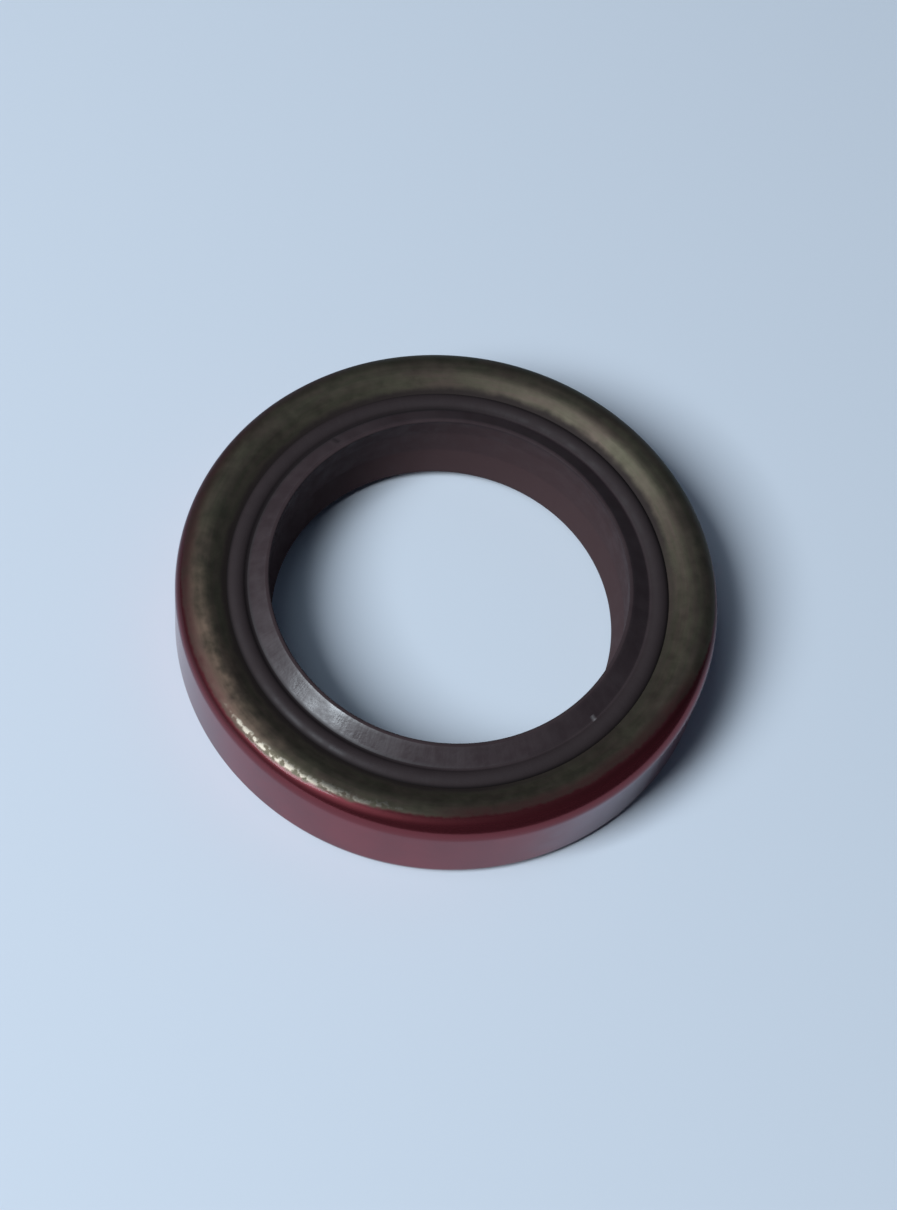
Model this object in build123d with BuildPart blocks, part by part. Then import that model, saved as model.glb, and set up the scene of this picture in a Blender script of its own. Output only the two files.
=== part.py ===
from build123d import *
from math import cos, radians, sin, tan
import os

# Radial shaft seal for a 28 mm shaft, a 42 mm housing bore and 8 mm of depth.
# Origin on the axis at the rim that goes into the housing first, +Z towards the air side.
# All sizes are in millimetres, and every profile is drawn in radius and height.

# What the seal fits
shaft_diameter = 28.0
housing_diameter = 42.0
seal_width = 8.0

# The room between shaft and housing that the widths, walls and radii below are drawn for
drawn_room = 7.0

# Pressed steel case
sheet = 1.0
bend_radius = 1.6
lead_in_depth = 0.25
lead_in_length = 0.8
face_width = 0.7
dish_run = 2.3
dish_angle = 25.0
dish_crest_radius = 2.0

# Rubber on the air side: a low bead from the bare steel to a groove, and the dust lip
bare_run = 1.63
bead_width = 1.4
bead_rise = 0.34
groove_width = 0.15
groove_drop = 0.7
groove_radius = 0.1
dust_interference = 0.3
dust_lip_rise = 0.3
dust_lip_tip = 0.3
dust_tip_radius = 0.12
dust_lip_length = 2.2
dust_recess_depth = 0.3
recess_radius = 0.1

# Rubber inside the case: the skin under the flange, the waist and the lip head
skin = 0.35
skin_reach = 1.3
skin_radius = 0.15
skin_end_radius = 0.1
heel_radius = 0.3
waist = 0.85
lip_interference = 1.0
lip_edge_height = 1.15
lip_land = 0.3
lip_cone_share = 0.52
lip_cone_radius = 0.6
head_height = 0.35
head_overhang = 0.15

# Garter spring in its groove, its centre a little to the air side of the lip's edge
spring_section = 1.5
spring_offset = 0.4
spring_seat_wall = 1.3
spring_clearance = 0.03


def fit(size):
    """A width, wall or radius of the section, scaled from the room it is drawn for to the room there is."""
    return size * (housing_diameter - shaft_diameter) / 2 / drawn_room


# Places in the steel that follow from the sizes
wall = fit(sheet)
case_r = housing_diameter / 2
wall_r = case_r - wall
bend_r = case_r - fit(bend_radius)
face_r = bend_r - fit(face_width)
flange_hole_r = face_r - fit(dish_run)

# The dished slope: its fall for each unit of run, how far its underside stands off its upper face,
# and how far a corner moves out for each unit of depth under the flange
fall = tan(radians(dish_angle))
slope_out = wall * sin(radians(dish_angle))
slope_down = wall * cos(radians(dish_angle))
mitre = tan(radians(dish_angle / 2))

# Places in the rubber on the air side
bead_outer_r = face_r - fit(bare_run)
bead_inner_r = bead_outer_r - fit(bead_width)
bead_foot = seal_width - fit(bare_run) * fall
groove_height = seal_width - fit(groove_drop)
groove_floor_r = bead_inner_r - fit(groove_width)
dust_r = (shaft_diameter - dust_interference) / 2
dust_top = seal_width + dust_lip_rise
recess_r = dust_r + fit(dust_recess_depth)

# Places in the rubber on the oil side
lip_r = (shaft_diameter - lip_interference) / 2
land_top = lip_edge_height + lip_land / 2
land_bottom = lip_edge_height - lip_land / 2
spring_r = lip_r + fit(spring_seat_wall + spring_section / 2)
spring_height = lip_edge_height + fit(spring_offset)
head_r = spring_r + fit(head_overhang)
waist_r = recess_r + fit(waist)
skin_depth = wall + fit(skin)
skin_corner_r = face_r + skin_depth * mitre
skin_foot_r = wall_r - fit(skin)
skin_foot = seal_width - skin_depth - fit(skin_reach)
heel_height = seal_width - skin_depth - (skin_corner_r - flange_hole_r) * fall
cone_top = land_top + (heel_height - land_top) * lip_cone_share

# The case is one sheet, pressed into a cup: a wall, a bend, a flat ring and a dished flange.
with BuildPart() as outer_case:
    with BuildSketch(Plane.XZ):
        with BuildLine():
            FilletPolyline(
                (case_r, 0),
                (case_r, seal_width),
                (face_r, seal_width),
                (flange_hole_r, seal_width - fit(dish_run) * fall),
                radius=[fit(bend_radius), fit(dish_crest_radius)],
            )
            offset(amount=wall, side=Side.LEFT)
        make_face()
    revolve(axis=Axis.Z)
    rim = outer_case.edges().filter_by(GeomType.CIRCLE).group_by(Axis.Z)[0]
    chamfer(rim.sort_by(SortBy.RADIUS)[-1], length=lead_in_length, length2=fit(lead_in_depth))

# The rubber is moulded on to the flange. Its profile runs back through the middle of the sheet, and
# the case is then taken out of it, so the two bonded faces are the same surface.
with BuildPart() as sealing_lip:
    with BuildSketch(Plane.XZ):
        with BuildLine():
            # up out of the steel's slope on the air side, and over the bead
            Polyline(
                (face_r + slope_out / 2, seal_width - wall / 2),
                (bead_outer_r + slope_out / 2, bead_foot - slope_down / 2),
                (bead_outer_r, bead_foot),
            )
            ThreePointArc(
                (bead_outer_r, bead_foot),
                ((bead_outer_r + bead_inner_r) / 2, (bead_foot + groove_height) / 2 + fit(bead_rise)),
                (bead_inner_r, groove_height),
            )
            # the groove, over the dust lip and down the bore to the sealing edge
            FilletPolyline(
                (bead_inner_r, groove_height),
                (groove_floor_r, groove_height),
                (dust_r + fit(dust_lip_tip), dust_top),
                (dust_r, dust_top),
                (recess_r, dust_top - dust_lip_length),
                (recess_r, cone_top),
                (lip_r, land_top),
                radius=[
                    fit(groove_radius),
                    fit(dust_tip_radius),
                    fit(dust_tip_radius),
                    fit(recess_radius),
                    fit(lip_cone_radius),
                ],
            )
            # out from the sealing edge on the oil side: its land, its cone and the head
            Polyline(
                (lip_r, land_top),
                (lip_r, land_bottom),
                (lip_r + land_bottom - head_height, head_height),
                (head_r, head_height),
                (head_r, spring_height),
                (waist_r, cone_top),
            )
            # up the waist, and out under the flange as a thin skin that ends on the case's wall
            FilletPolyline(
                (waist_r, cone_top),
                (waist_r, heel_height),
                (flange_hole_r, heel_height),
                (skin_corner_r, seal_width - skin_depth),
                (skin_foot_r, seal_width - skin_depth),
                (skin_foot_r, skin_foot),
                (wall_r + wall / 2, skin_foot),
                radius=[
                    fit(heel_radius),
                    fit(skin_radius),
                    fit(skin_radius),
                    fit(skin_radius),
                    fit(skin_end_radius),
                ],
            )
            Polyline(
                (wall_r + wall / 2, skin_foot),
                (wall_r + wall / 2, seal_width - fit(bend_radius)),
                (bend_r, seal_width - wall / 2),
                (face_r + slope_out / 2, seal_width - wall / 2),
            )
        make_face()
    revolve(axis=Axis.Z)
    with BuildSketch(Plane.XZ):
        with Locations((spring_r, spring_height)):
            Circle(fit(spring_section) / 2 + spring_clearance)
    revolve(axis=Axis.Z, mode=Mode.SUBTRACT)
    add(outer_case.part, mode=Mode.SUBTRACT)

# The garter spring is a close-wound coil joined into a ring, held here as the ring that it fills.
with BuildPart() as garter_spring:
    with BuildSketch(Plane.XZ):
        with Locations((spring_r, spring_height)):
            Circle(fit(spring_section) / 2)
    revolve(axis=Axis.Z)

outer_case.part.label = "outer_case"
sealing_lip.part.label = "sealing_lip"
garter_spring.part.label = "garter_spring"

os.makedirs("parts", exist_ok=True)
export_step(outer_case.part, "parts/outer_case.step")
export_step(sealing_lip.part, "parts/sealing_lip.step")
export_step(garter_spring.part, "parts/garter_spring.step")
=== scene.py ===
import math

import bpy
import numpy as np
from mathutils import Matrix, Vector


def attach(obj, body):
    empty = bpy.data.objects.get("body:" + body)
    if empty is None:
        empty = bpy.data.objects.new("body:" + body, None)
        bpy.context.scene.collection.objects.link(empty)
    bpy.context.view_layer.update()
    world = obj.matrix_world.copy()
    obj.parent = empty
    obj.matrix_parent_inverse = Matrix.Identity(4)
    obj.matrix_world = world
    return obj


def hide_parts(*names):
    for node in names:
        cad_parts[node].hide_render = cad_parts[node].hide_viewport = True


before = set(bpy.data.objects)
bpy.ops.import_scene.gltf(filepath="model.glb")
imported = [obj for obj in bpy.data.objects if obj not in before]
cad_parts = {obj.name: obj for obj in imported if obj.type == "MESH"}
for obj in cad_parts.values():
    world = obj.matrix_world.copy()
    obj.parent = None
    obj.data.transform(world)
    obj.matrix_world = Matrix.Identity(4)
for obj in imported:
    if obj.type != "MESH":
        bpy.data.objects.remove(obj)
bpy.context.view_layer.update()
mm = 0.001  # the settings of the pieces are in millimetres and degrees, the meshes in metres


# Drawing the sections

def roundedOutline(corners, step, arcStep):
    # A closed outline from corners (radius, height, rounding): each rounded corner becomes an arc that is
    # tangent to both sides, a corner without rounding stays a point, and the straight runs between
    # them are divided evenly, no longer than step.
    coarsestTurn = math.radians(20)
    points = np.array([corner[:2] for corner in corners], float)
    rounding = np.array([corner[2] for corner in corners], float)
    before = np.roll(points, 1, axis=0) - points
    after = np.roll(points, -1, axis=0) - points
    before /= np.linalg.norm(before, axis=1)[:, None]
    after /= np.linalg.norm(after, axis=1)[:, None]
    turn = np.pi - np.arccos(np.clip((before * after).sum(1), -1, 1))
    cut = (rounding * np.tan(turn / 2))[:, None]
    start, end = points + before * cut, points + after * cut
    pieces = []
    for i in range(len(points)):
        if rounding[i] == 0:
            pieces.append(points[i:i + 1])
        else:
            inner = before[i] + after[i]
            centre = points[i] + inner / np.linalg.norm(inner) * rounding[i] / math.cos(turn[i] / 2)
            count = max(2, math.ceil(turn[i] / coarsestTurn), math.ceil(rounding[i] * turn[i] / arcStep))
            share = np.linspace(0, 1, count + 1)[:, None]
            a, b = start[i] - centre, end[i] - centre
            blend = (np.sin((1 - share) * turn[i]) * a + np.sin(share * turn[i]) * b) / math.sin(turn[i])
            pieces.append(centre + blend)
        run = start[(i + 1) % len(points)] - end[i]
        parts = max(1, math.ceil(np.linalg.norm(run) / step))
        pieces.append(end[i] + run * np.linspace(0, 1, parts + 1)[1:-1, None])
    return np.concatenate(pieces)


def arcThrough(first, middle, last, count):
    # Points on the circle through three points, from the first to the last.
    a, b, c = (complex(*point) for point in (first, middle, last))
    w = (c - a) / (b - a)
    centre = a + (b - a) * (w - abs(w) ** 2) / (w - w.conjugate())
    start = a - centre
    sweep = np.angle((b - centre) / start) + np.angle((c - centre) / (b - centre))
    return [(z.real, z.imag, 0) for z in centre + start * np.exp(1j * np.linspace(0, sweep, count))]


def outlineNormals(outline):
    # The outward normal at each point: the chord between its neighbours, turned a quarter.
    chord = np.roll(outline, -1, axis=0) - np.roll(outline, 1, axis=0)
    normal = np.stack([chord[:, 1], -chord[:, 0]], axis=1)
    normal /= np.linalg.norm(normal, axis=1)[:, None]
    area = (outline[:, 0] * np.roll(outline[:, 1], -1) - np.roll(outline[:, 0], -1) * outline[:, 1]).sum()
    return normal if area > 0 else -normal


def turnedPoints(outline, angles, rise):
    # Point (i, j) is outline point i, moved along its normal by rise(i, j), turned by angle j about Z.
    moved = outline[:, None, :] + outlineNormals(outline)[:, None, :] * rise[:, :, None]
    radius, height = moved[..., 0] * mm, moved[..., 1] * mm
    return np.stack([radius * np.cos(angles), radius * np.sin(angles), height], axis=-1)


def ringAngles(count):
    return np.arange(count) * 2 * np.pi / count


def gridMesh(name, points):
    # A surface from a grid of points, closed round the ring and across the section, facing outwards.
    rows, columns = points.shape[:2]
    i, j = np.meshgrid(np.arange(rows), np.arange(columns), indexing="ij")
    nextRow, nextColumn = (i + 1) % rows, (j + 1) % columns
    faces = np.stack([i * columns + j, nextRow * columns + j, nextRow * columns + nextColumn,
                      i * columns + nextColumn], axis=-1).reshape(-1, 4)
    flat = points.reshape(-1, 3)
    a, b, c = flat[faces[:, 0]], flat[faces[:, 1]], flat[faces[:, 2]]
    if np.einsum("ij,ij->i", a, np.cross(b, c)).sum() < 0:
        faces = faces[:, ::-1]
    mesh = bpy.data.meshes.new(name)
    mesh.from_pydata(flat, [], faces.tolist())
    mesh.shade_smooth()
    piece = bpy.data.objects.new(name, mesh)
    bpy.context.scene.collection.objects.link(piece)
    return piece


# Masks, as one number for each point of the grid, that the materials read by name

def setAttribute(piece, name, values, shape):
    attribute = piece.data.attributes.new(name, "FLOAT", "POINT")
    attribute.data.foreach_set("value", np.broadcast_to(values, shape).astype(np.float32).ravel())


def smoothStep(values, low, high):
    share = np.clip((values - low) / (high - low), 0, 1)
    return share * share * (3 - 2 * share)


def angleFrom(angles, bearing):
    # How far each angle lies from a bearing in degrees, from minus half a turn to half a turn.
    return np.angle(np.exp(1j * (angles - math.radians(bearing))))


def reachFrom(angles, bearing, reach):
    # The same as a share of a reach in degrees.
    return angleFrom(angles, bearing) / math.radians(reach)


def waves(angles, seed, counts, size):
    # A smooth uneven line round the ring: a few sine waves of whole counts with random phases.
    rng = np.random.default_rng(seed)
    phases = rng.uniform(0, 2 * np.pi, len(counts))
    weights = rng.uniform(0.5, 1, len(counts))
    total = (weights[:, None] * np.sin(np.array(counts)[:, None] * angles + phases[:, None])).sum(0)
    return size * total / weights.sum()


# The pressed steel case, with the edge of its red coat

case = {
    "radius": 21.0, "height": 8.0, "sheet": 1.0, "bendRadius": 1.6, "faceWidth": 0.7,
    "dishRun": 2.3, "dishAngle": 25.0, "crestRadius": 2.0, "leadInDepth": 0.25, "leadInLength": 0.8,
    "edgeRadius": 0.06, "turns": 480, "step": 0.3, "arcStep": 0.12,
    # what shows outside starts this share of the sheet in from the radius, or faces up more than this
    "outsideShare": 0.45, "outsideRise": 0.3,
    "coatThickness": 0.02, "coatSlope": 0.2, "coatSmoothing": 4.0,
    "coatWave": 0.06, "coatWaves": [5, 8, 13, 21, 34], "coatSeed": 4,
    # how far out over the bend the coat's edge lies at each bearing
    "coatLine": [(0, 1.35), (18, 1.75), (45, 1.9), (130, 1.9), (160, 1.55), (180, 1.38), (200, 1.18),
                 (228, 1.1), (240, 0.98), (250, 0.78), (260, 0.52), (270, 0.36), (285, 0.2), (300, 0.13),
                 (320, 0.13), (335, 0.3), (346, 0.75), (360, 1.35)],
    # the rubbed bright patch with its painted highlight: bearing, reach and width
    "wearHighlightBearing": 248.0, "wearHighlightReach": 24.0, "wearHighlightWidth": 0.34,
    # the brown stain with its painted highlight: bearing, reach and width
    "stainHighlightBearing": 212.0, "stainHighlightReach": 22.0, "stainHighlightWidth": 0.9,
    # the painted reflection on the coat's wall: bearing, reach, fade and how far down the wall it lies
    "reflectionBearing": 320.0, "reflectionReach": 24.0, "reflectionFade": 1.35, "reflectionFrom": 1.2, "reflectionTo": 2.4,
    # bearing, reach and width of each thin wash of the coat, and how it fades at its ends and inwards
    "washes": [(172, 60, 1.5), (314, 38, 1.2)], "washFade": (0.75, 1.1), "washFull": 0.2,
    # where the painted shade over the bend fades out
    "darkFrom": 2.0, "darkTo": 2.7,
    # the rubber film, which also carries painted shade towards the groove: its width, its wave and where it
    # thins
    "filmWidth": 0.42, "filmWave": 0.12, "filmWaves": [2, 3, 7, 12, 19, 31], "filmSeed": 11,
    "filmThinBearing": 340.0, "filmThinning": 0.65, "filmThinFade": (0.6, 0.95),
}
offPiece = -9.0  # what a distance is set to where it has no meaning


def dishEnd(c):
    # The radius where the flat ring turns into the slope, the slope's angle, and the radius and height
    # of the flange's hole at its end.
    face = c["radius"] - c["bendRadius"] - c["faceWidth"]
    dish = math.radians(c["dishAngle"])
    return face, dish, face - c["dishRun"], c["height"] - c["dishRun"] * math.tan(dish)


def caseCorners(s):
    face, dish, hole, holeHeight = dishEnd(s)
    wall, under, edge = s["radius"] - s["sheet"], s["height"] - s["sheet"], s["edgeRadius"]
    return [(s["radius"] - s["leadInDepth"], 0, edge), (s["radius"], s["leadInLength"], edge),
            (s["radius"], s["height"], s["bendRadius"]), (face, s["height"], s["crestRadius"]),
            (hole, holeHeight, edge),
            (hole + s["sheet"] * math.sin(dish), holeHeight - s["sheet"] * math.cos(dish), edge),
            (face + s["sheet"] * math.tan(dish / 2), under, s["crestRadius"] - s["sheet"]),
            (wall, under, s["bendRadius"] - s["sheet"]), (wall, 0, edge)]


def wayOverOutside(radius, height, s):
    # In along the flat ring it is below zero, then it counts up over the bend and down the side.
    ringEdge, bendFoot = s["radius"] - s["bendRadius"], s["height"] - s["bendRadius"]
    way = np.arctan2(np.clip(radius - ringEdge, 0, None), np.clip(height - bendFoot, 0, None) + 1e-9)
    way *= s["bendRadius"]
    way = np.where(radius < ringEdge, radius - ringEdge, way)
    return np.where(height < bendFoot, s["bendRadius"] * math.pi / 2 + bendFoot - height, way)


def coatLine(angles, s):
    # The coat's edge round the ring: the given places, smoothed over a few degrees, with a fine wave.
    bearings, widths = np.array(s["coatLine"]).T
    line = np.interp(np.degrees(angles), bearings, widths)
    spread = np.exp(-reachFrom(angles, 0, s["coatSmoothing"]) ** 2)
    line = np.fft.irfft(np.fft.rfft(line) * np.fft.rfft(spread / spread.sum()), len(angles))
    return line + waves(angles, s["coatSeed"], s["coatWaves"], s["coatWave"])


def makeCase(s, bareRun):
    outline = roundedOutline(caseCorners(s), s["step"], s["arcStep"])
    angles = ringAngles(s["turns"])
    shape = len(outline), len(angles)
    radius, height = outline.T
    facesUp = outlineNormals(outline)[:, 1] > s["outsideRise"]
    outside = ((radius > s["radius"] - s["sheet"] * s["outsideShare"]) | facesUp)[:, None]
    way = wayOverOutside(radius, height, s)[:, None]
    margin = np.where(outside, way - coatLine(angles, s), offPiece)
    # The coat's face keeps the case's full size, so the bare steel lies a coat's thickness lower.
    rise = s["coatThickness"] * (smoothStep(margin, 0, s["coatSlope"]) - 1)
    piece = gridMesh("caseShell", turnedPoints(outline, angles, np.where(outside, rise, 0.0)))
    setAttribute(piece, "coatMargin", margin, shape)
    # Handling has rubbed the steel bright in a patch just inside the coat's edge; the patch is also a
    # painted highlight, placed and brightened where the window lamp's highlight falls.
    reach = reachFrom(angles, s["wearHighlightBearing"], s["wearHighlightReach"])
    wearAndHighlight = np.exp(-((margin + s["wearHighlightWidth"]) / s["wearHighlightWidth"]) ** 2 - reach ** 4)
    setAttribute(piece, "wearAndHighlight", wearAndHighlight, shape)
    # Beside it the steel is browned and lightened: a brown stain that is also a painted highlight towards
    # the window lamp.
    reach = reachFrom(angles, s["stainHighlightBearing"], s["stainHighlightReach"])
    stainAndHighlight = np.exp(-(way / s["stainHighlightWidth"]) ** 2 - reach ** 2)
    setAttribute(piece, "stainAndHighlight", stainAndHighlight * outside, shape)
    # Round the other side the coat's wall is painted pale: a painted reflection of the bright floor.
    reach = np.abs(reachFrom(angles, s["reflectionBearing"], s["reflectionReach"]))
    paleReflection = (1 - smoothStep(reach, 0, s["reflectionFade"])) * smoothStep(way, s["reflectionFrom"], s["reflectionTo"])
    setAttribute(piece, "paleReflection", paleReflection * outside, shape)
    # Along parts of the coat's edge a thin wash of it browns the steel.
    wash = np.zeros(shape)
    for bearing, reach, width in s["washes"]:
        near = 1 - smoothStep(np.abs(reachFrom(angles, bearing, reach)), *s["washFade"])
        wash += near * smoothStep(margin, -width, -s["washFull"] * width)
    setAttribute(piece, "wash", wash, shape)
    # Painted shade: the coat is painted darker over the bend than down the side.
    setAttribute(piece, "bend", (1 - smoothStep(way, s["darkFrom"], s["darkTo"])) * outside, shape)
    # A film of rubber from the mould runs out over the slope, further in some places than in others. It also
    # carries painted shade: the steel is painted darker towards the groove, less so round one bearing.
    filmAndShade = s["filmWidth"] + waves(angles, s["filmSeed"], s["filmWaves"], s["filmWave"])
    thin = smoothStep(np.cos(angleFrom(angles, s["filmThinBearing"])), *s["filmThinFade"])
    pastBead = (radius - (dishEnd(s)[0] - bareRun))[:, None]
    setAttribute(piece, "filmAndShade", np.where(outside, filmAndShade - pastBead, offPiece), shape)
    setAttribute(piece, "filmShadeDepth", outside * (1 - s["filmThinning"] * thin), shape)
    return piece


# The moulded rubber: bead, groove, dust lip, sealing lip and the skin under the flange

rubber = {
    "bareRun": 1.63, "beadWidth": 1.4, "beadRise": 0.34, "grooveWidth": 0.15, "grooveDrop": 0.7,
    "grooveRadius": 0.1, "dustRadius": 13.85, "dustTip": 0.3, "dustTipRadius": 0.12, "dustRise": 0.3,
    "dustLength": 2.2, "recess": 0.3, "recessRadius": 0.1, "lipRadius": 13.5, "lipHeight": 1.15,
    "land": 0.3, "coneShare": 0.52, "coneRadius": 0.6, "headHeight": 0.35, "headOverhang": 0.15,
    "waist": 0.85, "skin": 0.35, "skinReach": 1.3, "skinRadius": 0.15, "skinEndRadius": 0.1,
    "heelRadius": 0.3, "edgeRadius": 0.04, "bondOverlap": 0.02, "seatWall": 1.3, "seatClearance": 0.03,
    "turns": 480, "step": 0.3, "arcStep": 0.12, "arcPoints": 15,
    # the painted shade in the groove and at the bead's foot is darkest at these bearings
    "creaseShadeWidth": 0.20, "grooveShadeBearing": 178.0, "footShadeBearing": 235.0, "creaseShadeLeast": 0.25, "creaseShadeTurn": 0.35,
    "polishBearing": 243.0, "polishReach": 19.0,
    # the bead's colour comes in over this width, the bore's fades at these radii and depths
    "beadFade": 0.2, "boreFade": (14.2, 14.4), "boreFadeLow": 0.5, "boreFadeHigh": 0.2,
    # the bead's finish ends this far inside the groove's middle and this far down from the case's face
    "beadInside": 0.17, "airSide": 1.2,
    # the bore's finish ends at this radius and depth, and takes in all that lies within the tip's radius
    "boreRadius": 14.3, "boreDrop": 0.12, "tipRadius": 14.19,
}

spring = {
    "section": 1.5, "wire": 0.34, "offset": 0.4, "coils": 284, "stepsPerCoil": 20, "sides": 8,
}


def bondPath(s, c):
    # Back along the steel from the skin's foot to the bead, a little inside the sheet so that no gap
    # shows. Here and below, s holds the rubber's settings, c the case's and g the spring's.
    face, dish, hole, holeHeight = dishEnd(c)
    overlap, wall = s["bondOverlap"], c["radius"] - c["sheet"]
    depth = c["sheet"] - overlap
    up = np.array([-math.sin(dish), math.cos(dish)])
    out = np.array([math.cos(dish), math.sin(dish)])
    upper = np.array([hole, holeHeight]) + out * overlap - up * overlap
    lower = np.array([hole, holeHeight]) + out * overlap - up * depth
    start = np.array([face - s["bareRun"], c["height"] - s["bareRun"] * math.tan(dish)]) - up * overlap
    return [(wall + overlap, c["height"] - c["sheet"] + overlap, c["bendRadius"] - c["sheet"]),
            (face + depth * math.tan(dish / 2), c["height"] - depth, c["crestRadius"] - c["sheet"]),
            (*lower, 0), (*upper, 0), (*start, 0)]


def beadPlaces(s, c):
    # The bead's foot on the steel's slope, and its other end at the groove.
    face, dish = dishEnd(c)[:2]
    foot = face - s["bareRun"], c["height"] - s["bareRun"] * math.tan(dish)
    return foot, (foot[0] - s["beadWidth"], c["height"] - s["grooveDrop"])


def springSeat(s, g):
    return s["lipRadius"] + s["seatWall"] + g["section"] / 2, s["lipHeight"] + g["offset"]


def rubberCorners(s, c, g):
    # From the steel's slope over the air side to the lip, round the spring's seat, up the waist and
    # under the flange to the wall.
    face, dish, hole = dishEnd(c)[:3]
    foot, groove = beadPlaces(s, c)
    crest = (foot[0] + groove[0]) / 2, (foot[1] + groove[1]) / 2 + s["beadRise"]
    dust, edge = s["dustRadius"], s["edgeRadius"]
    dustTop, recess = c["height"] + s["dustRise"], dust + s["recess"]
    path = arcThrough(foot, crest, groove, s["arcPoints"])
    path += [(groove[0] - s["grooveWidth"], groove[1], s["grooveRadius"]),
             (dust + s["dustTip"], dustTop, s["dustTipRadius"]), (dust, dustTop, s["dustTipRadius"]),
             (recess, dustTop - s["dustLength"], s["recessRadius"])]
    # Down the cone to the sealing edge, and out along the head's underside.
    wall, skinTop = c["radius"] - c["sheet"], c["height"] - c["sheet"] - s["skin"]
    corner = face + (c["sheet"] + s["skin"]) * math.tan(dish / 2)
    heel = skinTop - (corner - hole) * math.tan(dish)
    landTop, landBottom = s["lipHeight"] + s["land"] / 2, s["lipHeight"] - s["land"] / 2
    coneTop = landTop + (heel - landTop) * s["coneShare"]
    seat, seatHeight = springSeat(s, g)
    head = seat + s["headOverhang"]
    path += [(recess, coneTop, s["coneRadius"]), (s["lipRadius"], landTop, edge),
             (s["lipRadius"], landBottom, edge),
             (s["lipRadius"] + landBottom - s["headHeight"], s["headHeight"], edge),
             (head, s["headHeight"], edge)]
    # Round the spring's seat, from where the head's side meets it.
    seatSize = g["section"] / 2 + s["seatClearance"]
    low = math.acos((head - seat) / seatSize)
    for angle in np.linspace(-low, -low - 2 * (math.pi - low), s["arcPoints"]):
        path.append((seat + seatSize * math.cos(angle), seatHeight + seatSize * math.sin(angle), 0))
    # Up the waist and out under the flange.
    waist, skinFoot, skinRadius = recess + s["waist"], skinTop - s["skinReach"], s["skinRadius"]
    path += [(waist, coneTop, edge), (waist, heel, s["heelRadius"]), (hole, heel, skinRadius),
             (corner, skinTop, skinRadius), (wall - s["skin"], skinTop, skinRadius),
             (wall - s["skin"], skinFoot, s["skinEndRadius"]), (wall + s["bondOverlap"], skinFoot, 0)]
    return path + bondPath(s, c)


def makeRubber(s, c, g):
    outline = roundedOutline(rubberCorners(s, c, g), s["step"], s["arcStep"])
    angles = ringAngles(s["turns"])
    shape = len(outline), len(angles)
    radius, height = outline.T
    piece = gridMesh("sealingLip", turnedPoints(outline, angles, np.zeros(shape)))
    onTop = height > c["height"] - s["airSide"]
    foot, groove = beadPlaces(s, c)
    groove = groove[0] - s["grooveWidth"] / 2, groove[1]
    # Painted shade: the groove and the bead's foot are painted dark, more so on one side of each, where less
    # light falls.
    creaseShade = np.zeros(shape)
    for (r, z), bearing in ((groove, s["grooveShadeBearing"]), (foot, s["footShadeBearing"])):
        near = np.exp(-((radius - r) ** 2 + (height - z) ** 2) / s["creaseShadeWidth"] ** 2) * onTop
        dark = smoothStep(np.cos(angleFrom(angles, bearing)), -s["creaseShadeTurn"], s["creaseShadeTurn"])
        creaseShade += near[:, None] * (s["creaseShadeLeast"] + (1 - s["creaseShadeLeast"]) * dark)
    setAttribute(piece, "creaseShade", creaseShade, shape)
    dustTop = c["height"] + s["dustRise"]
    bore = 1 - smoothStep(radius, *s["boreFade"])
    bore *= 1 - smoothStep(height, dustTop - s["boreFadeLow"], dustTop - s["boreFadeHigh"])
    setAttribute(piece, "bore", bore[:, None], shape)
    bead = smoothStep(radius, groove[0], groove[0] + s["beadFade"]) * onTop
    setAttribute(piece, "bead", bead[:, None], shape)
    # The dust lip has been handled smooth in one place.
    polish = np.exp(-reachFrom(angles, s["polishBearing"], s["polishReach"]) ** 4)
    setAttribute(piece, "polish", polish, shape)
    # Faces of the bead are finish 1, those of the bore below the dust lip's tip are finish 2.
    middleRadius, middleHeight = ((values + np.roll(values, -1)) / 2 for values in (radius, height))
    onBead = (middleRadius > groove[0] - s["beadInside"]) & (middleHeight > c["height"] - s["airSide"])
    inBore = (middleRadius < s["boreRadius"]) & (middleHeight < dustTop - s["boreDrop"])
    finish = np.where(inBore | (middleRadius < s["tipRadius"]), 2, np.where(onBead, 1, 0))
    piece.data.polygons.foreach_set("material_index", np.repeat(finish, len(angles)).astype(np.int32))
    return piece


def makeSpring(g, s):
    # A wire coiled round a ring: its centre circles the ring's line once a coil, and the tube is
    # a circle across the wire, spanned by the coil's own outward direction and the one across it.
    ringRadius, ringHeight = springSeat(s, g)
    coilRadius = (g["section"] - g["wire"]) / 2
    around = ringAngles(g["coils"] * g["stepsPerCoil"])
    phase = around * g["coils"]
    zero = np.zeros(len(around))
    outward = np.stack([np.cos(around), np.sin(around), zero], axis=1)
    forward = np.stack([-np.sin(around), np.cos(around), zero], axis=1)
    up = np.array([0, 0, 1.0])
    spoke = np.cos(phase)[:, None] * outward + np.sin(phase)[:, None] * up
    centre = ringRadius * outward + ringHeight * up + coilRadius * spoke
    along = (ringRadius + coilRadius * np.cos(phase))[:, None] * forward
    turning = np.cos(phase)[:, None] * up - np.sin(phase)[:, None] * outward
    along = along + g["coils"] * coilRadius * turning
    along /= np.linalg.norm(along, axis=1)[:, None]
    across = np.cross(along, spoke)
    side = ringAngles(g["sides"])[None, :, None]
    ring = np.cos(side) * spoke[:, None, :] + np.sin(side) * across[:, None, :]
    return gridMesh("garterCoil", (centre[:, None, :] + ring * g["wire"] / 2) * mm)


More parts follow.
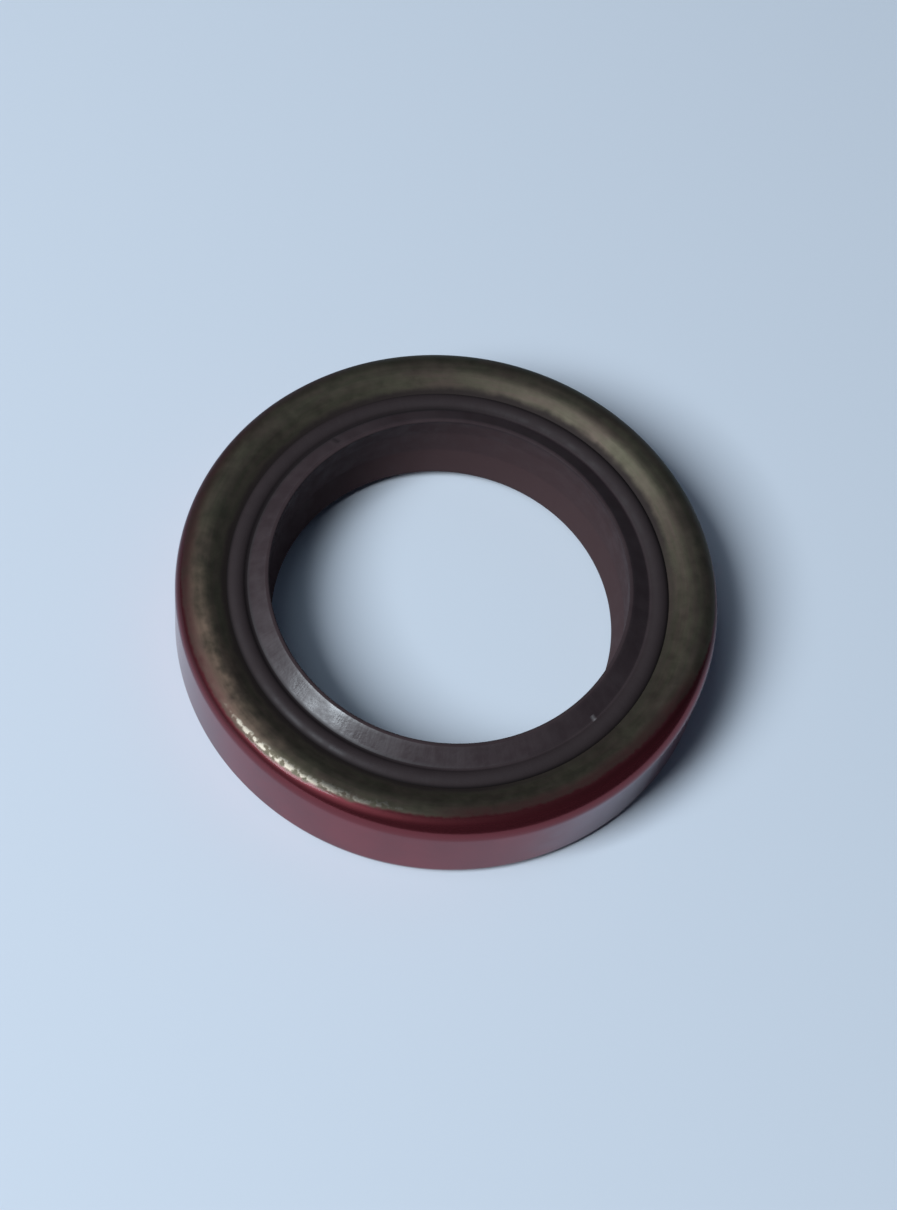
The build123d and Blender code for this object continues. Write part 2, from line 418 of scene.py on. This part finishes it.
caseShell = makeCase(case, rubber["bareRun"])
sealingLip = makeRubber(rubber, case, spring)
garterCoil = makeSpring(spring, rubber)
for piece, node, slot in ((caseShell, "outer_case", "coated_steel"),
                          (sealingLip, "sealing_lip", "lip_rubber"),
                          (garterCoil, "garter_spring", "spring_steel")):
    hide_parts(node)
    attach(piece, "root")
    print("made", piece.name, len(piece.data.polygons), "faces")


# Materials

class nodeMaker:
    # A node tree with short calls to add a node and join sockets.
    def __init__(self, tree):
        self.tree = tree
        tree.nodes.clear()

    def add(self, kind, settings=None, **inputs):
        # An input is named by its label, with _ for a space, or by i and its number.
        node = self.tree.nodes.new(kind)
        for key, value in (settings or {}).items():
            setattr(node, key, value)
        for key, value in inputs.items():
            label = int(key[1:]) if key[1:].isdigit() else key.replace("_", " ")
            self.set(node.inputs[label], value)
        return node

    def set(self, socket, value):
        if isinstance(value, bpy.types.NodeSocket):
            self.tree.links.new(value, socket)
        else:
            socket.default_value = value

    def group(self, tree, **inputs):
        return self.add("ShaderNodeGroup", {"node_tree": tree}, **inputs).outputs[0]

    def attribute(self, name):
        return self.add("ShaderNodeAttribute", {"attribute_name": name}).outputs["Fac"]

    def math(self, operation, a, b=0.0, clamp=False):
        settings = {"operation": operation, "use_clamp": clamp}
        return self.add("ShaderNodeMath", settings, i0=a, i1=b).outputs[0]

    def plus(self, a, b):
        return self.math("ADD", a, b)

    def minus(self, a, b, clamp=False):
        return self.math("SUBTRACT", a, b, clamp)

    def times(self, a, b, clamp=False):
        return self.math("MULTIPLY", a, b, clamp)

    def between(self, value, low, high):
        # From 0 at low to 1 at high, smoothly.
        settings = {"interpolation_type": "SMOOTHSTEP"}
        node = self.add("ShaderNodeMapRange", settings, Value=value, From_Min=low, From_Max=high)
        return node.outputs["Result"]

    def blend(self, share, a, b):
        return self.add("ShaderNodeMix", {"data_type": "RGBA"}, i0=share, i6=a, i7=b).outputs[2]

    def level(self, share, a, b):
        return self.add("ShaderNodeMix", {"data_type": "FLOAT"}, i0=share, i2=a, i3=b).outputs[0]

    def objectPlace(self):
        return self.add("ShaderNodeTexCoord").outputs["Object"]

    def bump(self, height, distance):
        return self.add("ShaderNodeBump", Strength=0.5, Distance=distance, Height=height).outputs[0]


def newGroup(name, inputs, output):
    tree = bpy.data.node_groups.new(name, "ShaderNodeTree")
    for label, value in inputs.items():
        socket = tree.interface.new_socket(label, in_out="INPUT", socket_type="NodeSocketFloat")
        socket.default_value = value
    tree.interface.new_socket(output, in_out="OUTPUT", socket_type="NodeSocketFloat")
    n = nodeMaker(tree)
    return tree, n, n.add("NodeGroupInput").outputs, n.add("NodeGroupOutput").inputs[output]


def drawnGrain():
    # Fine lines that run round the ring, from noise that is stretched along the circle.
    inputs = {"Around": 6.0, "Across": 9000.0, "Detail": 4.0}
    tree, n, given, lines = newGroup("drawnGrain", inputs, "Lines")
    xyz = n.add("ShaderNodeSeparateXYZ", i0=n.objectPlace()).outputs
    flat = n.add("ShaderNodeCombineXYZ", X=xyz[0], Y=xyz[1]).outputs[0]
    radius = n.add("ShaderNodeVectorMath", {"operation": "LENGTH"}, i0=flat).outputs["Value"]
    unit = n.add("ShaderNodeVectorMath", {"operation": "NORMALIZE"}, i0=flat).outputs[0]
    turned = n.add("ShaderNodeVectorMath", {"operation": "SCALE"}, i0=unit, Scale=given["Around"]).outputs[0]
    parts = n.add("ShaderNodeSeparateXYZ", i0=turned).outputs
    depth = n.times(n.plus(radius, xyz[2]), given["Across"])
    where = n.add("ShaderNodeCombineXYZ", X=parts[0], Y=parts[1], Z=depth).outputs[0]
    noise = n.add("ShaderNodeTexNoise", Vector=where, Scale=1.0, Detail=given["Detail"]).outputs[0]
    n.set(lines, noise)
    return tree


def mottle():
    # Soft uneven patches: noise at one scale, spread to the full range.
    inputs = {"Scale": 600.0, "Detail": 4.0, "Low": 0.35, "High": 0.65}
    tree, n, given, patches = newGroup("mottle", inputs, "Patches")
    noise = n.add("ShaderNodeTexNoise", Vector=n.objectPlace(), Scale=given["Scale"], Detail=given["Detail"])
    n.set(patches, n.between(noise.outputs[0], given["Low"], given["High"]))
    return tree


def radialNick():
    # A short straight scratch that points at the axis: how far a place lies across and along its bearing.
    inputs = {"Bearing": 0.0, "Width": 0.0001, "From": 0.014, "To": 0.016}
    tree, n, given, nick = newGroup("radialNick", inputs, "Nick")
    xyz = n.add("ShaderNodeSeparateXYZ", i0=n.objectPlace()).outputs
    cosine, sine = n.math("COSINE", given["Bearing"]), n.math("SINE", given["Bearing"])
    along = n.plus(n.times(xyz[0], cosine), n.times(xyz[1], sine))
    across = n.minus(n.times(xyz[1], cosine), n.times(xyz[0], sine))
    near = n.minus(1.0, n.math("DIVIDE", n.math("ABSOLUTE", across), given["Width"]), True)
    begun = n.math("GREATER_THAN", along, given["From"])
    ended = n.math("LESS_THAN", along, given["To"])
    n.set(nick, n.times(near, n.times(begun, ended)))
    return tree


drawnGrainGroup, mottleGroup, radialNickGroup = drawnGrain(), mottle(), radialNick()


def newMaterial(name):
    material = bpy.data.materials.new(name)
    material.use_nodes = True
    n = nodeMaker(material.node_tree)
    out = n.add("ShaderNodeOutputMaterial")
    shader = n.add("ShaderNodeBsdfPrincipled")
    n.set(out.inputs[0], shader.outputs[0])
    return material, n, shader.inputs


steelFinish = {
    # the stained and the rubbed bright colours also serve as painted highlight, the film's colour also as
    # painted shade
    "olive": (0.100, 0.087, 0.059, 1), "brown": (0.088, 0.064, 0.050, 1), "bright": (0.176, 0.150, 0.119, 1),
    "stainAndHighlight": (0.26, 0.175, 0.125, 1), "wash": (0.076, 0.032, 0.029, 1), "filmAndShade": (0.036, 0.025, 0.022, 1),
    "tint": (0.50, 0.58, 0.62, 1), "metal": 0.87, "filmMetal": 0.65,
    "roughness": 0.515, "roughPatches": 0.10, "brightRoughness": 0.41, "filmRoughness": 0.7,
    # the coat's reds: the darker ones for the bend and behind the edge are painted shade, the pale one is a
    # painted reflection
    "coat": (0.272, 0.026, 0.033, 1), "coatDark": (0.225, 0.022, 0.028, 1),
    "coatBendShade": (0.190, 0.031, 0.039, 1), "coatEdgeShade": (0.056, 0.010, 0.012, 1),
    "reflectionColour": (0.258, 0.115, 0.130, 1), "coatMetal": 0.82,
    "coatRoughness": 0.24, "edgeRoughness": 0.44, "gloss": 0.40, "glossRoughness": 0.10,
    # the patterns: three mottles, drawn lines, and broad bands that run round the ring
    "patches": {"Scale": 210.0, "Detail": 3.0, "Low": 0.35, "High": 0.65},
    "soft": {"Scale": 900.0, "Detail": 3.0, "Low": 0.25, "High": 0.75},
    "ragged": {"Scale": 2200.0, "Detail": 5.0, "Low": 0.25, "High": 0.75},
    "lines": {"Across": 5000.0},
    "bands": {"Around": 7.0, "Across": 2100.0, "Detail": 3.0}, "bandRange": (0.38, 0.62),
    # how uneven the coat's edge and the edge of the film with its painted shade are, and over which range
    # each one fades
    "coatRag": 0.14, "coatRange": (-0.15, 0.15), "filmRag": 0.2, "filmRange": (-0.34, 0.26),
    # the painted shade just behind the coat's edge: where it fades and how dark it gets
    "edgeShadeRange": (0.25, 0.9), "edgeShadeShare": 0.8,
    # how the rubbed bright chips with their painted highlight break up
    "chipRag": 1.5, "chipLeast": 0.1, "chipRange": (0.35, 0.9),
    # how drawn lines and patches break up the painted reflection
    "reflectionLines": 0.5, "reflectionSoft": 0.3, "reflectionBreakRange": (0.1, 1.2), "reflectionRange": (0.0, 0.5),
    "brownPatches": 0.45, "brownBands": 0.55, "stainHighlightLeast": 0.3, "washLeast": 0.75,
    # the shade of the steel is the first number, and each pattern lightens it by its share
    "shade": 0.68, "softShade": 0.14, "raggedShade": 0.10, "lineShade": 0.24, "bandShade": 0.16,
    "steelBump": 0.12, "brightBump": 0.34, "lineBump": 0.2, "coatBump": 0.08, "bumpDistance": 0.00003,
}


def coatedSteel(s):
    material, n, shader = newMaterial("coatedSteel")
    margin, wearAndHighlight, filmAndShade = n.attribute("coatMargin"), n.attribute("wearAndHighlight"), n.attribute("filmAndShade")
    stainAndHighlight, wash, paleReflection = n.attribute("stainAndHighlight"), n.attribute("wash"), n.attribute("paleReflection")
    patches, soft, ragged = (n.group(mottleGroup, **s[mark]) for mark in ("patches", "soft", "ragged"))
    lines = n.group(drawnGrainGroup, **s["lines"])
    bands = n.between(n.group(drawnGrainGroup, **s["bands"]), *s["bandRange"])
    # The coat fades out over its edge, it is brushed on thin there.
    unevenMargin = n.plus(margin, n.times(n.minus(ragged, 0.5), s["coatRag"]))
    coat = n.between(unevenMargin, *s["coatRange"])
    # The rubbed bright chips also carry a painted highlight.
    raggedWearAndHighlight = n.times(wearAndHighlight, n.plus(n.times(ragged, s["chipRag"]), s["chipLeast"]))
    chipsAndHighlight = n.between(raggedWearAndHighlight, *s["chipRange"])
    # The film's mask is also painted shade, darker towards the groove.
    unevenFilmAndShade = n.plus(filmAndShade, n.times(n.minus(soft, 0.5), s["filmRag"]))
    filmAndShade = n.times(n.between(unevenFilmAndShade, *s["filmRange"]), n.attribute("filmShadeDepth"))
    # The steel runs from olive to brown and is stained and lightened by a painted highlight, toned by its
    # patterns, washed, rubbed bright with a painted highlight, and filmed over with painted shade towards
    # the groove.
    browned = n.plus(n.times(patches, s["brownPatches"]), n.times(bands, s["brownBands"]))
    steel = n.blend(browned, s["olive"], s["brown"])
    steel = n.blend(n.times(stainAndHighlight, n.plus(soft, s["stainHighlightLeast"]), True), steel, s["stainAndHighlight"])
    shade = n.plus(n.times(soft, s["softShade"]), n.times(ragged, s["raggedShade"]))
    shade = n.plus(n.times(lines, s["lineShade"]), n.plus(shade, s["shade"]))
    shade = n.plus(n.times(bands, s["bandShade"]), shade)
    steel = n.add("ShaderNodeVectorMath", {"operation": "SCALE"}, i0=steel, Scale=shade).outputs[0]
    steel = n.blend(n.times(wash, n.level(soft, s["washLeast"], 1.0)), steel, s["wash"])
    steel = n.blend(filmAndShade, n.blend(chipsAndHighlight, steel, s["bright"]), s["filmAndShade"])
    # Painted shade: the coat is painted darker just behind its edge, which damps the lamp's highlight there,
    # and drawn lines break up the painted reflection on the pale patch.
    edgeShade = n.minus(1.0, n.between(margin, *s["edgeShadeRange"]))
    brokenReflection = n.plus(n.times(n.minus(lines, 0.5), s["reflectionLines"]), n.times(soft, s["reflectionSoft"]))
    brokenReflection = n.between(n.plus(paleReflection, brokenReflection), *s["reflectionBreakRange"])
    paleReflection = n.times(brokenReflection, n.between(paleReflection, *s["reflectionRange"]))
    red = n.blend(paleReflection, n.blend(patches, s["coatDark"], s["coat"]), s["reflectionColour"])
    # Painted shade: darker red over the bend.
    red = n.blend(n.attribute("bend"), red, s["coatBendShade"])
    red = n.blend(n.times(edgeShade, s["edgeShadeShare"]), red, s["coatEdgeShade"])
    n.set(shader["Base Color"], n.blend(coat, steel, red))
    n.set(shader["Metallic"], n.level(coat, n.level(filmAndShade, s["metal"], s["filmMetal"]), s["coatMetal"]))
    steelRough = n.plus(s["roughness"], n.times(soft, s["roughPatches"]))
    steelRough = n.level(filmAndShade, n.level(chipsAndHighlight, steelRough, s["brightRoughness"]), s["filmRoughness"])
    coatRough = n.level(edgeShade, s["coatRoughness"], s["edgeRoughness"])
    n.set(shader["Roughness"], n.level(coat, steelRough, coatRough))
    n.set(shader["Coat Weight"], n.times(coat, n.level(edgeShade, s["gloss"], s["gloss"] / 2)))
    shader["Coat Roughness"].default_value = s["glossRoughness"]
    shader["Specular Tint"].default_value = s["tint"]
    rough = n.times(ragged, n.level(chipsAndHighlight, s["steelBump"], s["brightBump"]))
    height = n.level(coat, n.plus(rough, n.times(lines, s["lineBump"])), n.times(ragged, s["coatBump"]))
    n.set(shader["Normal"], n.bump(height, s["bumpDistance"]))
    return material


rubberFinish = {
    "colour": (0.037, 0.024, 0.026, 1), "pale": (0.052, 0.035, 0.037, 1), "bead": (0.031, 0.022, 0.0225, 1),
    # the darkest colour here is the painted shade for the groove and the bead's foot
    "bore": (0.066, 0.037, 0.038, 1), "creaseShade": (0.007, 0.005, 0.005, 1), "speck": (0.16, 0.14, 0.14, 1),
    "lipRoughness": 0.36, "beadRoughness": 0.55, "boreRoughness": 0.5, "creaseRoughness": 0.8,
    "lipSpecular": 0.45, "beadSpecular": 0.15, "boreSpecular": 0.06,
    "patches": {"Scale": 260.0, "Detail": 3.0, "Low": 0.3, "High": 0.7},
    "blotches": {"Scale": 750.0, "Detail": 4.0, "Low": 0.3, "High": 0.7},
    "fine": {"Scale": 4200.0, "Detail": 5.0, "Low": 0.25, "High": 0.75},
    "streaks": {"Around": 26.0, "Across": 200.0, "Detail": 4.0}, "streakRange": (0.3, 0.7),
    "nickPlace": {"Bearing": math.radians(137.0), "Width": 0.00035, "From": 0.0146, "To": 0.0156},
    "speckPlace": {"Bearing": math.radians(325.0), "Width": 0.00024, "From": 0.01525, "To": 0.01565},
    # how much each pattern pales the rubber, how much each place takes its own colour, and how dark the
    # painted shade in the groove and at the bead's foot gets
    "patchPale": 0.5, "blotchPale": 0.25, "streakPale": 0.25,
    "beadShare": 0.85, "boreShare": 0.8, "creaseShadeShare": 0.85, "nickShare": 0.6,
    "streakRough": 0.04, "blotchRough": 0.18, "polishRough": -0.15,
    "fineBump": 0.12, "streakBump": 0.25, "blotchBump": 0.35, "nickBump": 1.2, "bumpDistance": 0.00004,
}


def mouldedRubber(part, s):
    material, n, shader = newMaterial(part + "Rubber")
    creaseShade = n.times(n.attribute("creaseShade"), 1.0, True)
    bead, bore, polish = n.attribute("bead"), n.attribute("bore"), n.attribute("polish")
    patches, blotches, fine = (n.group(mottleGroup, **s[mark]) for mark in ("patches", "blotches", "fine"))
    # Marks from trimming the lip run straight towards the axis.
    streaks = n.between(n.group(drawnGrainGroup, **s["streaks"]), *s["streakRange"])
    nick, speck = (n.group(radialNickGroup, **s[mark]) for mark in ("nickPlace", "speckPlace"))
    pale = n.plus(n.times(patches, s["patchPale"]), n.times(blotches, s["blotchPale"]))
    colour = n.blend(n.plus(pale, n.times(streaks, s["streakPale"])), s["colour"], s["pale"])
    colour = n.blend(n.times(bead, s["beadShare"]), colour, s["bead"])
    colour = n.blend(n.times(bore, s["boreShare"]), colour, s["bore"])
    # The painted shade of the groove and the bead's foot, and the dark nick, darken the rubber.
    dark = n.math("MAXIMUM", n.times(creaseShade, s["creaseShadeShare"]), n.times(nick, s["nickShare"]))
    n.set(shader["Base Color"], n.blend(speck, n.blend(dark, colour, s["creaseShade"]), s["speck"]))
    rough = n.plus(n.times(streaks, s["streakRough"]), n.times(blotches, s["blotchRough"]))
    rough = n.plus(n.times(polish, s["polishRough"]), n.plus(rough, s[part + "Roughness"]))
    n.set(shader["Roughness"], n.level(creaseShade, rough, s["creaseRoughness"]))
    shader["Specular IOR Level"].default_value = s[part + "Specular"]
    height = n.plus(n.times(fine, s["fineBump"]), n.times(streaks, n.level(bore, s["streakBump"], 0.0)))
    height = n.minus(n.plus(height, n.times(blotches, s["blotchBump"])), n.times(nick, s["nickBump"]))
    n.set(shader["Normal"], n.bump(height, s["bumpDistance"]))
    return material


springFinish = {
    "grey": (0.36, 0.35, 0.33, 1), "pale": (0.55, 0.54, 0.52, 1), "roughness": 0.24, "roughPatches": 0.12,
    "patches": {"Scale": 900.0, "Low": 0.3, "High": 0.7},
}


def springWire(s):
    material, n, shader = newMaterial("springWire")
    patches = n.group(mottleGroup, **s["patches"])
    n.set(shader["Base Color"], n.blend(patches, s["grey"], s["pale"]))
    shader["Metallic"].default_value = 1.0
    n.set(shader["Roughness"], n.plus(s["roughness"], n.times(patches, s["roughPatches"])))
    return material


caseShell.data.materials.append(coatedSteel(steelFinish))
for part in ("lip", "bead", "bore"):
    sealingLip.data.materials.append(mouldedRubber(part, rubberFinish))
garterCoil.data.materials.append(springWire(springFinish))
print("finishes are on")


# Floor, light and camera: lengths here are in metres, apart from the camera's sensor

floorSettings = {"size": 1.6, "colour": (0.675, 0.714, 0.78, 1), "roughness": 0.9, "specular": 0.1}


def paperFloor(s):
    half = s["size"] / 2
    corners = [(-half, -half, 0), (half, -half, 0), (half, half, 0), (-half, half, 0)]
    mesh = bpy.data.meshes.new("paperFloor")
    mesh.from_pydata(corners, [], [(0, 1, 2, 3)])
    floor = bpy.data.objects.new("paperFloor", mesh)
    bpy.context.scene.collection.objects.link(floor)
    material, _, shader = newMaterial("palePaper")
    shader["Base Color"].default_value = s["colour"]
    shader["Roughness"].default_value = s["roughness"]
    shader["Specular IOR Level"].default_value = s["specular"]
    mesh.materials.append(material)


# Each lamp is a soft panel that looks at the seal from a bearing and a height in degrees.
lamps = {
    "window": {"bearing": 219.0, "height": 50.0, "distance": 0.7, "size": (0.25, 0.36), "power": 5.8,
               "colour": (0.81, 0.91, 0.99)},
    "overhead": {"bearing": 200.0, "height": 74.0, "distance": 0.7, "size": (0.2, 0.2), "power": 0.40,
                 "colour": (0.70, 0.86, 1.0)},
    "backWall": {"bearing": 60.0, "height": 50.0, "distance": 0.7, "size": (0.4, 0.4), "power": 0.14,
                 "colour": (0.55, 0.74, 1.0)},
}
room = {"colour": (0.45, 0.66, 1.0, 1), "strength": 0.035}


def softLamp(name, s):
    bearing, height = math.radians(s["bearing"]), math.radians(s["height"])
    flat = math.cos(height)
    toLamp = Vector((math.cos(bearing) * flat, math.sin(bearing) * flat, math.sin(height)))
    data = bpy.data.lights.new(name, "AREA")
    data.shape = "RECTANGLE"
    data.size, data.size_y = s["size"]
    data.energy, data.color = s["power"], s["colour"]
    lamp = bpy.data.objects.new(name, data)
    bpy.context.scene.collection.objects.link(lamp)
    turn = (-toLamp).to_track_quat("-Z", "Y").to_matrix().to_4x4()
    lamp.matrix_world = Matrix.Translation(toLamp * s["distance"]) @ turn


def roomLight(s):
    world = bpy.data.worlds.new("room")
    world.use_nodes = True
    background = world.node_tree.nodes["Background"]
    background.inputs["Color"].default_value = s["colour"]
    background.inputs["Strength"].default_value = s["strength"]
    bpy.context.scene.world = world


view = {"distance": 0.2, "elevation": 62.54, "roll": -11.51, "focalPixels": 2516.0,
        "frameWidth": 897, "frameHeight": 1210, "offsetPixels": (-7.62, -20.16), "sensor": 36.0}


def photoCamera(s):
    # The seal's origin lies at offsetPixels from the frame's middle, seen from distance at the elevation.
    tilt, roll = math.radians(s["elevation"]), math.radians(s["roll"])
    c, d = math.cos(tilt), math.sin(tilt)
    tilted = np.array([[1, 0, 0], [0, d, c], [0, -c, d]])
    rolled = np.array([[math.cos(roll), -math.sin(roll), 0], [math.sin(roll), math.cos(roll), 0], [0, 0, 1]])
    turn = rolled @ tilted
    x, y = s["offsetPixels"]
    seen = np.array([x / s["focalPixels"], y / s["focalPixels"], -1]) * s["distance"]
    data = bpy.data.cameras.new("photoCamera")
    data.sensor_width = s["sensor"]
    data.lens = s["focalPixels"] * s["sensor"] / max(s["frameWidth"], s["frameHeight"])
    data.clip_start, data.clip_end = 0.01, 10
    camera = bpy.data.objects.new("photoCamera", data)
    bpy.context.scene.collection.objects.link(camera)
    matrix = np.eye(4)
    matrix[:3, :3], matrix[:3, 3] = turn.T, -turn.T @ seen
    camera.matrix_world = Matrix(matrix.tolist())
    bpy.context.scene.camera = camera


paperFloor(floorSettings)
for name, lampSettings in lamps.items():
    softLamp(name, lampSettings)
roomLight(room)
photoCamera(view)
bpy.context.scene.view_settings.view_transform = "Standard"
print("floor, light and camera are set")
